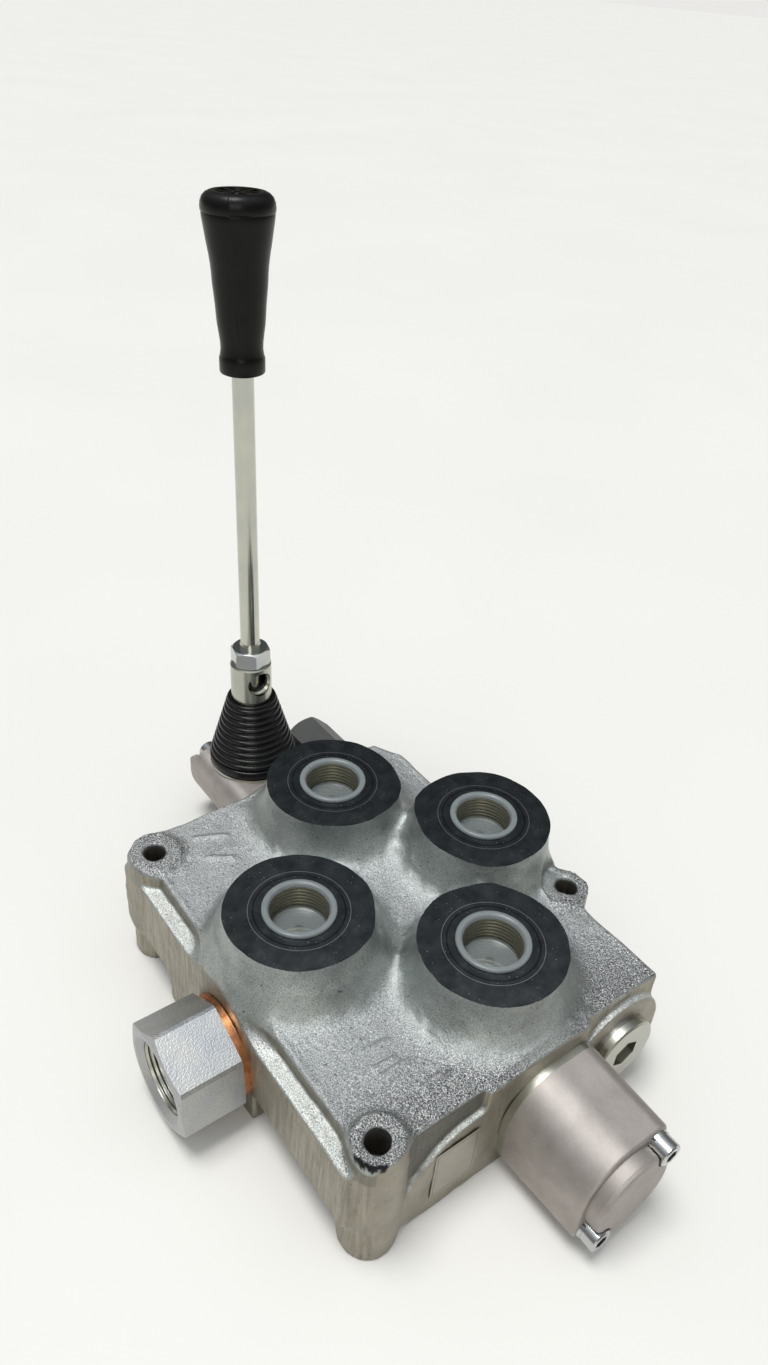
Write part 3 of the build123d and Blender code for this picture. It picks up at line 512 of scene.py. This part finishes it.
def casting_field(x, y, z):
    """Signed distance, in millimetres, of the whole casting with soft blends."""
    outline = [(-88, -84), (92.5, -84), (92.5, 61), (20, 61), (-20, 56), (-74, 56), (-88, 49)]
    plan = polygon_field(x[:, :, 0], y[:, :, 0], outline)[:, :, None]
    lip = 0.45 * np.exp(-((plan + 1.6) / 1.2) ** 2)
    body = rounded_extrusion(plan + 0.012 * (z - 40), z, FOOT_LIFT, PLATEAU_Z + lip, 0.9)
    ledge = np.maximum(np.abs(x - 2) - 86, np.abs(y + 80.5) - 10.5)
    ledge = rounded_extrusion(ledge + 0.01 * (z - 30), z, FOOT_LIFT, LEDGE_Z, 0.9)
    body = smooth_min(body, ledge, 1.2)
    corner = [(-88, -78), (-87, -84), (-83, -88.5), (-76, -90.2), (-69, -89.4), (-63, -85), (-62, -78)]
    corner = polygon_field(x[:, :, 0], y[:, :, 0], corner)[:, :, None]
    body = smooth_min(body, rounded_extrusion(corner, z, FOOT_LIFT, 55.6, 1.0), 2.0)
    pad = np.maximum(np.abs(x - 77.5) - 17.5, np.maximum(np.abs(y + 6) - 26, np.abs(z - 37) - 18.6))
    label = np.maximum(np.hypot(y + 35.5, z - 13) - 31.5, np.abs(x - 77.5) - 17.5)
    label = np.maximum(label, 1 - z)
    check = np.maximum(np.hypot(y - SIDE_BORE_Y, z - SPOOL_Z) - 24.5, np.abs(x - 67.5) - 27.5)
    front = smooth_min(smooth_min(pad, label, 4.0), check, 4.0)
    body = smooth_min(body, front, 1.4)
    main = np.maximum(np.abs(x - 4.25) - 90.75, np.abs(y + 3.5) - 54.5)
    side = np.maximum(np.abs(x + 9) - 36, np.abs(y + 74) - 16.5)
    feet = np.minimum(rounded_extrusion(main, z, 0, 22, 1.5), rounded_extrusion(side, z, 0, 22, 1.5))
    body = smooth_min(body, feet, 3.0)
    relief = np.maximum(np.hypot(y - SIDE_BORE_Y, z - SPOOL_Z) - 16.5, np.maximum(-93 - x, x + 70))
    body = smooth_min(body, relief, 3.0)
    for name, (cx, cy) in PORTS.items():
        r = np.hypot(x - cx, y - cy)
        wall = np.maximum(r - BOSS_R - 0.04 * (PORT_Z - z), 47 - z)
        if name == "pressure":
            skirt = np.maximum((r - BOSS_R - 0.75 * (64 - z)) * 0.8, np.maximum(40 - z, z - 63))
            body = smooth_min(body, skirt, 6.0)
        body = smooth_min(body, wall, 17.0)
    cx, cy = PORTS["tank"]
    drum = np.hypot(x - cx, y - cy) - np.clip(20 + (z - 12) * 0.69, 20, 31)
    body = smooth_min(body, np.maximum(drum, np.maximum(12 - z, z - 60)), 4.0)
    sides = np.maximum(np.maximum(-91.0 - y, -88.0 - x), x - 95.0)
    hull = np.maximum(sides, y - 66.5)
    tank = np.hypot(x - cx, y - cy) - 31.3
    body = np.maximum(body, np.minimum(np.minimum(hull, tank), np.hypot(y - SIDE_BORE_Y, z - SPOOL_Z) - 16.5))
    for ex, ey, top in EARS:
        r = np.hypot(x - ex, y - ey)
        column = np.maximum(r - 11.5 + 1.7 * z / top, np.maximum(z - top, -z))
        body = smooth_min(body, column, 6.0)
        body = np.maximum(body, np.where(r < 11.6, z - top, -99))
    arm = np.maximum(np.abs(x - 38) - 9.8, np.maximum(np.abs(y - 52) - 10.5, np.abs(z - 28.5) - 26.5))
    body = smooth_min(body, arm, 3.0)
    for x0, y0, x1, y1 in RAISED_BARS:
        body = smooth_min(body, bar(x, y, z, x0, y0, x1, y1, 2.0, 1.15), 0.8)
    for ex, ey, top in EARS:
        body = np.maximum(body, MOUNT_HOLE_R - np.hypot(x - ex, y - ey))
    return np.maximum(body, -z)


RAISED_BARS = [
    (-75.7, -59.8, -70.0, -47.2),
    (-61.9, -61.3, -56.6, -51.7),
    (55.4, -59.8, 56.2, -50.2),
    (63.4, -61.1, 63.8, -51.7),
    (67.3, -61.2, 67.5, -49.9),
    (79.3, -50.4, 78.7, -39.7),
]


def casting(material):
    """Make the cast body, cut flat at the port faces; returns the rim points of each face."""
    step = 1.0
    origin = np.array([-95.5, -93.5, -1.5])
    shape = (197, 170, 82)
    axes = [origin[i] + step * np.arange(shape[i]) for i in range(3)]
    x, y, z = np.meshgrid(*axes, indexing="ij")
    field = casting_field(x, y, z)
    field += 0.16 * smooth_noise(shape, 5.0, 11) + 0.07 * smooth_noise(shape, 1.3, 12)
    field[:, :, 0:2] = np.maximum(field[:, :, 0:2], 0.5)
    verts, faces = surface_nets(field, origin, step)
    verts[:, 2] = np.maximum(verts[:, 2], 0.0)
    mesh = bpy.data.meshes.new("cast_body")
    mesh.from_pydata((verts * MM).tolist(), [], faces.tolist())
    bm = bmesh.new()
    bm.from_mesh(mesh)
    everything = bm.verts[:] + bm.edges[:] + bm.faces[:]
    bmesh.ops.bisect_plane(bm, geom=everything, dist=1e-7, plane_co=(0, 0, PORT_Z * MM),
                           plane_no=(0, 0, 1), clear_outer=True)
    rims = {name: [] for name in PORTS}
    for vert in bm.verts:
        if abs(vert.co.z - PORT_Z * MM) < 1e-6 and any(e.is_boundary for e in vert.link_edges):
            px, py = vert.co.x / MM, vert.co.y / MM
            name = min(PORTS, key=lambda n: math.hypot(px - PORTS[n][0], py - PORTS[n][1]))
            rims[name].append((px, py))
    bm.to_mesh(mesh)
    bm.free()
    mesh.materials.append(material)
    mesh.polygons.foreach_set("use_smooth", [True] * len(mesh.polygons))
    paint_masks(mesh)
    obj = bpy.data.objects.new("cast_body", mesh)
    bpy.context.scene.collection.objects.link(obj)
    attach(obj, "housing")
    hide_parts("valve_body")
    return rims


def step_between(value, low, high):
    t = np.clip((value - low) / (high - low), 0, 1)
    return t * t * (3 - 2 * t)


def paint_masks(mesh):
    """Vertex masks: rough level faces away from the bosses, drawn walls, machined pads, painted shade near
    the front edge and ears, a low ledge, painted shade on recessed walls, a chipped ear.
    """
    count = len(mesh.vertices)
    co = np.zeros(count * 3)
    normal = np.zeros(count * 3)
    mesh.vertices.foreach_get("co", co)
    mesh.vertices.foreach_get("normal", normal)
    co = co.reshape(-1, 3) / MM
    normal = normal.reshape(-1, 3)
    up = normal[:, 2]
    near = np.min([np.hypot(co[:, 0] - cx, co[:, 1] - cy) for cx, cy in PORTS.values()], axis=0) - BOSS_R
    rough = step_between(up, 0.5, 0.85) * step_between(near, 4.0, 15.0)
    wall = np.where(co[:, 2] < 56.0, step_between(-up, -0.5, -0.15), 0.0)
    pad = step_between(co[:, 0], 94.3, 94.8) * step_between(normal[:, 0], 0.8, 0.95)
    ear = np.min([np.hypot(co[:, 0] - ex, co[:, 1] - ey) for ex, ey, _ in EARS], axis=0)
    # The edge mask marks where painted shade darkens the tops: towards the front edge and around the ears.
    edge = np.maximum(step_between(co[:, 0], 58.0, 90.0), step_between(-ear, -20.0, -9.0))
    ledge = step_between(-co[:, 2], -51.5, -50.0)
    # Steep walls below the plateau edge at the front and at the -Y step: painted shade.
    front_wall = ((co[:, 0] > 89.0) & (co[:, 0] < 94.2)
                  & (np.abs(co[:, 1] + 50.0) < 21.0) & (normal[:, 0] > 0.5))
    side_wall = (co[:, 1] < -83.0) & (co[:, 1] > -88.5) & (co[:, 2] > 49.6) & (co[:, 0] > -62.0)
    painted_recess_shade = wall * np.where(front_wall & (co[:, 2] > 30.0), 0.75, np.where(side_wall, 0.4, 0.0))
    ex, ey, top = EARS[1]
    angle = np.degrees(np.arctan2(co[:, 1] - ey, co[:, 0] - ex))
    ragged = 1.3 * np.sin(angle * 0.31) + 0.9 * np.sin(angle * 0.77 + 1.0)
    rim = (np.hypot(co[:, 0] - ex, co[:, 1] - ey) > 8.9) & (co[:, 2] > top - 2.2 + ragged * 0.8)
    chip = (rim & (angle > -98) & (angle < -12)).astype(float)
    masks = {"rough": rough, "wall": wall, "pad": pad, "edge": edge, "ledge": ledge, "painted_recess_shade": painted_recess_shade,
             "chip": chip}
    for name, values in masks.items():
        layer = mesh.attributes.new(name, "FLOAT", "POINT")
        layer.data.foreach_set("value", values.astype(np.float32))


def port_face(name, rim, material):
    """Flat ring between the casting's rim and the port's hole, drawn about the port's own axis."""
    cx, cy = PORTS[name]
    rim = sorted(rim, key=lambda p: math.atan2(p[1] - cy, p[0] - cx))
    count = len(rim)
    verts = []
    for share in (0.0, 0.02, 1.0):
        for px, py in rim:
            r = math.hypot(px - cx, py - cy)
            scale = ((1 - share) * r + share * PORT_HOLE_R) / r
            verts.append((cx + (px - cx) * scale, cy + (py - cy) * scale, PORT_Z))
    faces = []
    for i in range(2):
        for k in range(count):
            n = (k + 1) % count
            faces.append((i * count + k, i * count + n, (i + 1) * count + n, (i + 1) * count + k))
    obj = add_mesh(f"{name}_port_face", verts, faces, material, "housing", False, (cx, cy, PORT_Z))


def port_thread(name, material):
    """Tapped wall of a port, as rounded thread rings, with its dark floor."""
    cx, cy = PORTS[name]
    profile = [(PORT_HOLE_R, PORT_Z), (PORT_HOLE_R, PORT_Z - 1.2)]
    z = PORT_Z - 1.4
    while z > 54.0:
        profile += [(13.1, z), (13.2, z - 0.25 * THREAD_PITCH), (12.15, z - 0.6 * THREAD_PITCH),
                    (12.1, z - 0.8 * THREAD_PITCH)]
        z -= THREAD_PITCH
    profile += [(12.0, z), (11.0, z - 1), (11.0, 40.0), (0.1, 40.0)]
    verts, faces = turned_mesh(profile, 96)
    verts += (cx, cy, 0)
    obj = add_mesh(f"{name}_port_thread", verts, [f[::-1] for f in faces], material, "housing")


def port_plug(name, rim, wall, base):
    """Thin cup with a rounded rim, faint thread rings on its wall and a gate mark on its floor."""
    cx, cy = PORTS[name]
    top = PORT_Z + 0.02
    outer = [(0.05, -12.25), (11.4, -12.25), (11.9, -11.8)]
    z = -11.0
    while z < -1.6:
        outer += [(11.95, z), (12.1, z + 0.5), (12.1, z + 0.9), (11.95, z + 1.4)]
        z += THREAD_PITCH
    outer += [(12.0, -0.05), (12.3, 0.0), (14.9, 0.0), (15.0, 0.3), (15.0, 1.0), (14.7, 1.45), (14.2, 1.6)]
    inner = [(13.1, 1.6), (12.6, 1.3), (12.3, 0.7), (12.0, -0.2)]
    z = -1.2
    while z > -10.6:
        inner += [(11.75, z), (11.55, z - 0.55), (11.55, z - 0.95), (11.75, z - 1.45)]
        z -= THREAD_PITCH
    inner += [(11.5, -10.7), (11.0, -11.1), (5.0, -11.2), (2.2, -11.15), (1.7, -10.8), (1.2, -10.1),
              (0.6, -9.9), (0.05, -9.9)]
    verts, faces = turned_mesh(outer + inner, 96)
    verts += (cx, cy, top)
    obj = add_mesh(f"{name}_plug_cup", verts, faces, rim, f"{name}_port_plug")
    obj.data.materials.append(wall)
    obj.data.materials.append(base)
    # Material slots: 0 rim, 1 wall, 2 floor.
    for polygon in obj.data.polygons:
        height = polygon.center.z / MM - top
        polygon.material_index = 0 if height > -0.2 else (2 if height < -10.9 else 1)
    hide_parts(f"{name}_port_plug")


def adapter_thread(material):
    """Tapped wall of the side adapter, as fine rounded thread rings about its own axis."""
    profile = []
    h = 2.3
    while h < 18.5:
        profile += [(15.05, h), (15.05, h + 0.25 * THREAD_PITCH), (14.2, h + 0.55 * THREAD_PITCH),
                    (14.2, h + 0.75 * THREAD_PITCH)]
        h += THREAD_PITCH
    verts, faces = turned_mesh(profile, 112)
    placed = np.stack([ADAPTER_X + verts[:, 0], ADAPTER_TIP_Y + verts[:, 2], SPOOL_Z - verts[:, 1]], 1)
    obj = add_mesh("adapter_thread", placed, [f[::-1] for f in faces], material, "housing")


# ---- boot and grip ------------------------------------------------------------------------------

def boot(material):
    """Bellows with ten round beads over a plain cuff, and a collar on the hub."""
    base, top, cuff = 43.75, 81.2, 48.2
    beads = 10
    pitch = (top - 1.6 - cuff) / beads
    profile = [(17.6, base), (21.4, base), (21.9, base + 0.3), (22.0, base + 1.0), (22.0, cuff - 0.7),
               (21.6, cuff - 0.3), (20.4, cuff - 0.1)]
    for bead in range(beads):
        z = cuff + bead * pitch
        r = 21.9 - (21.9 - 12.6) * (bead + 0.5) / beads
        profile.append((r - 1.9, z))
        for k in range(7):
            a = math.pi * (k + 0.5) / 7 - math.pi / 2
            profile.append((r - 1.15 + 1.15 * math.cos(a), z + pitch * (0.5 + 0.44 * math.sin(a))))
    profile += [(11.4, top - 1.5), (12.0, top - 1.3), (12.3, top - 0.8), (12.0, top - 0.2), (11.2, top),
                (10.15, top - 0.3), (10.15, top - 3.5), (10.6, top - 8), (17.0, 49.5)]
    verts, faces = turned_mesh(profile, 128, closed=True)
    obj = add_mesh("boot_bellows", leaned(verts), faces, material, None)
    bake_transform(obj)
    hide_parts("boot")


def grip(material):
    """Hand grip: collar, waist, swelling body with a parting line, and a domed, ribbed crown."""
    profile = [
        (4.62, 0.0), (8.3, 0.0), (9.1, 0.35), (9.4, 0.9), (9.4, 6.3), (9.1, 7.0), (8.9, 8.0), (8.65, 10.0),
        (8.75, 12.5), (9.2, 16.0), (9.75, 20.0), (10.05, 24.0), (10.2, 27.0), (10.6, 31.0), (11.0, 35.0),
        (11.2, 39.0), (11.45, 42.0), (12.0, 46.0), (12.7, 50.0), (13.3, 54.0), (13.85, 57.5), (14.2, 60.2),
        (14.02, 60.6), (14.02, 60.8), (14.4, 61.1), (14.5, 62.4), (14.3, 64.2), (13.6, 65.9), (12.4, 67.1),
        (10.9, 67.8), (9.4, 67.98), (8.7, 67.9), (8.4, 67.3), (8.2, 65.2), (8.0, 64.6), (0.05, 64.6),
    ]
    verts, faces = turned_mesh([(r, GRIP_FOOT_Z + h) for r, h in profile], 144)
    angle = np.arctan2(verts[:, 1], verts[:, 0])
    r = np.hypot(verts[:, 0], verts[:, 1])
    for seam in (math.radians(-42), math.radians(138)):
        off = np.abs((angle - seam + math.pi) % (2 * math.pi) - math.pi) * r
        outside = (r > 8.7) & (verts[:, 2] > GRIP_FOOT_Z + 1)
        lift = np.where(outside, 0.3 * np.exp(-(off / 0.4) ** 2), 0)
        verts[:, 0] *= 1 + lift / np.maximum(r, 1)
        verts[:, 1] *= 1 + lift / np.maximum(r, 1)
    obj = add_mesh("hand_grip", leaned(verts), faces, material, "lever")
    sharp(obj, 50)
    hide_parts("grip")
    ribs = []
    rib_faces = []
    for k in range(8):
        a = math.pi * k / 4 + 0.2
        ca, sa = math.cos(a), math.sin(a)
        start = len(ribs)
        for along, across, height in (
            (1.0, 0.9, 64.5), (1.0, -0.9, 64.5), (8.4, -0.9, 64.5), (8.4, 0.9, 64.5),
            (1.3, 0.65, 67.4), (1.3, -0.65, 67.4), (8.3, -0.65, 67.8), (8.3, 0.65, 67.8),
        ):
            ribs.append((ca * along - sa * across, sa * along + ca * across, GRIP_FOOT_Z + height))
        for quad in ((4, 5, 6, 7), (0, 4, 7, 3), (1, 2, 6, 5), (0, 1, 5, 4)):
            rib_faces.append([start + q for q in quad])
    crown = add_mesh("grip_crown_ribs", leaned(ribs), rib_faces, material, "lever", False)


# ---- the scene ----------------------------------------------------------------------------------

def poppet_spring(node, material):
    """Copy of a poppet's spring, with its own mesh and the given material, in place of the CAD node, which is
    hidden.
    """
    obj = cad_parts[node].copy()
    obj.data = obj.data.copy()
    obj.name = node + "_coil"
    obj.data.name = obj.name
    bpy.context.scene.collection.objects.link(obj)
    obj.data.materials.clear()
    obj.data.materials.append(material)
    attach(obj, "housing")
    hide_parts(node)
    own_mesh(obj)


def paint_nodes(looks):
    """Give every carried-over CAD node its material."""
    for node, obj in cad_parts.items():
        obj.data.materials.clear()
        obj.data.materials.append(looks[node])


def world_and_lights():
    """Soft studio: bright cool ceiling, dim warm horizon, and a dark patch behind the valve."""
    world = bpy.data.worlds.new("studio")
    world.use_nodes = True
    tree = world.node_tree
    background = tree.nodes["Background"]
    coords = tree.nodes.new("ShaderNodeTexCoord")
    split = tree.nodes.new("ShaderNodeSeparateXYZ")
    tree.links.new(coords.outputs["Generated"], split.inputs["Vector"])
    ramp = tree.nodes.new("ShaderNodeValToRGB")
    stops = [(0.0, (0.3, 0.275, 0.235)), (0.3, (0.2, 0.195, 0.185)), (0.6, (0.36, 0.39, 0.41)),
             (0.92, (1.0, 1.05, 1.1))]
    while len(ramp.color_ramp.elements) < len(stops):
        ramp.color_ramp.elements.new(0.5)
    for element, (position, color) in zip(ramp.color_ramp.elements, stops):
        element.position = position
        element.color = (*color, 1.0)
    tree.links.new(split.outputs["Z"], ramp.inputs["Fac"])
    dot = tree.nodes.new("ShaderNodeVectorMath")
    dot.operation = "DOT_PRODUCT"
    dot.inputs[1].default_value = (-0.63, 0.52, 0.578)
    tree.links.new(coords.outputs["Generated"], dot.inputs[0])
    shade = tree.nodes.new("ShaderNodeMapRange")
    shade.inputs["From Min"].default_value = 0.78
    shade.inputs["From Max"].default_value = 0.95
    shade.inputs["To Min"].default_value = 1.0
    shade.inputs["To Max"].default_value = 0.3
    tree.links.new(dot.outputs["Value"], shade.inputs["Value"])
    mixed = tree.nodes.new("ShaderNodeVectorMath")
    mixed.operation = "MULTIPLY"
    tree.links.new(ramp.outputs["Color"], mixed.inputs[0])
    tree.links.new(shade.outputs["Result"], mixed.inputs[1])
    path = tree.nodes.new("ShaderNodeLightPath")
    seen = tree.nodes.new("ShaderNodeMix")
    seen.data_type = "RGBA"
    seen.inputs[7].default_value = (0.82, 0.81, 0.79, 1.0)
    tree.links.new(path.outputs["Is Camera Ray"], seen.inputs[0])
    tree.links.new(mixed.outputs["Vector"], seen.inputs[6])
    tree.links.new(seen.outputs[2], background.inputs["Color"])
    background.inputs["Strength"].default_value = 1.0
    bpy.context.scene.world = world
    for name, aim, strength, spread, color in (
        ("key", (-0.1, -0.15, 1.0), 2.0, 24.0, (1.0, 1.0, 0.98)),
        ("side", (0.75, -0.55, 0.5), 0.5, 30.0, (1.0, 0.96, 0.9)),
    ):
        light = bpy.data.lights.new(name, "SUN")
        light.energy = strength
        light.angle = math.radians(spread)
        light.color = color
        obj = bpy.data.objects.new(name, light)
        obj.rotation_euler = (-Vector(aim)).to_track_quat("-Z", "Y").to_euler()
        bpy.context.scene.collection.objects.link(obj)


def floor():
    """Plain pale floor."""
    s = Shader("floor_paint", (0.74, 0.725, 0.695), roughness=0.7)
    s.color(s.ramp(s.noise(300.0, 2.0), (0.3, (0.73, 0.715, 0.685)), (0.7, (0.75, 0.735, 0.705))))
    size = 30000.0
    corners = [(-size, -size, -0.05), (size, -size, -0.05), (size, size, -0.05), (-size, size, -0.05)]
    plane = add_mesh("studio_floor", corners, [(0, 1, 2, 3)], s.material, None, False)


def camera():
    """Camera of the photograph, solved from the four port faces and the upright edges."""
    data = bpy.data.cameras.new("camera")
    data.lens = 26.47
    data.sensor_width = 36.0
    data.clip_start = 0.01
    obj = bpy.data.objects.new("camera", data)
    right = Vector((0.593, 0.802, 0.072)).normalized()
    back = Vector((0.63, -0.518, 0.578))
    back = (back - right * back.dot(right)).normalized()
    up = back.cross(right)
    rotation = Matrix((right, up, back)).transposed().to_4x4()
    obj.matrix_world = Matrix.Translation((0.2248, -0.2052, 0.3811)) @ rotation
    bpy.context.scene.collection.objects.link(obj)
    bpy.context.scene.camera = obj


def build():
    camera()
    world_and_lights()
    floor()
    bpy.context.scene.view_settings.view_transform = "Standard"
    zinc = zinc_turned("bright_zinc", (0.5, 0.51, 0.47), 0.3)
    rod = zinc_turned("rolled_rod", (0.55, 0.56, 0.51), 0.18, (1.0, 1.0, 0.04))
    screw = zinc_turned("screw_zinc", (0.55, 0.57, 0.59), 0.2)
    # The hub's cross hole gets a dark disc of painted shade.
    hub = zinc_turned("hub_zinc", (0.46, 0.47, 0.43), 0.22, (1.0, 1.0, 0.1), (0.0, 92.4, 5.2))
    steel = zinc_turned("hard_steel", (0.66, 0.67, 0.68), 0.12)
    aluminium = blasted_aluminium()
    black = rubber()
    red = copper()
    plastic = grip_plastic()
    looks = {node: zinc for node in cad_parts}
    for node in ("spring_cap", "lever_housing"):
        looks[node] = aluminium
    for node in ("adapter_washer_inner", "adapter_washer_outer"):
        looks[node] = red
    for node in ("spool", "pivot_pin", "check_poppet", "relief_poppet"):
        looks[node] = steel
    for node in ("spring_cap_screws", "spring_cap_lock_washers", "lever_housing_screws", "jam_nut",
                 "socket_plug_washer"):
        looks[node] = screw
    for node in ("boot", "spool_seal_front", "spool_seal_rear"):
        looks[node] = black
    looks["grip"] = plastic
    looks["lever_rod"] = rod
    looks["port_adapter"] = zinc_turned("frosted_zinc", (0.5, 0.515, 0.54), 0.42, (0.55, 0.55, 0.55),
                                        grain=(0.7, 0.2), specks=0.75)
    for node in ("relief_cap", "relief_cartridge"):
        looks[node] = zinc_turned("dark_zinc_" + node, (0.1, 0.103, 0.105), 0.42)
    looks["lever_arm"] = hub
    # The socket plug's bore gets a dark disc of painted shade.
    looks["socket_plug"] = zinc_turned("plug_zinc", (0.5, 0.51, 0.47), 0.3,
                                       hole=(SIDE_BORE_Y, SPOOL_Z, 5.95))
    looks["blank_label"] = label_film()
    paint_nodes(looks)
    rims = casting(cast_zinc())
    face = machined_face()
    thread = thread_metal()
    clear = (
        plug_plastic("plug_rim", 0.62, (0.25, 0.28, 0.285)),
        plug_plastic("plug_wall", 0.035, (0.7, 0.74, 0.66)),
        plug_plastic("plug_floor", 0.3, (0.32, 0.36, 0.36)),
    )
    for name in PORTS:
        port_face(name, rims[name], face)
        port_thread(name, thread)
        port_plug(name, *clear)
    adapter_thread(zinc)
    boot(black)
    grip(plastic)
    poppet_spring("check_spring", steel)
    poppet_spring("relief_spring", steel)


build()
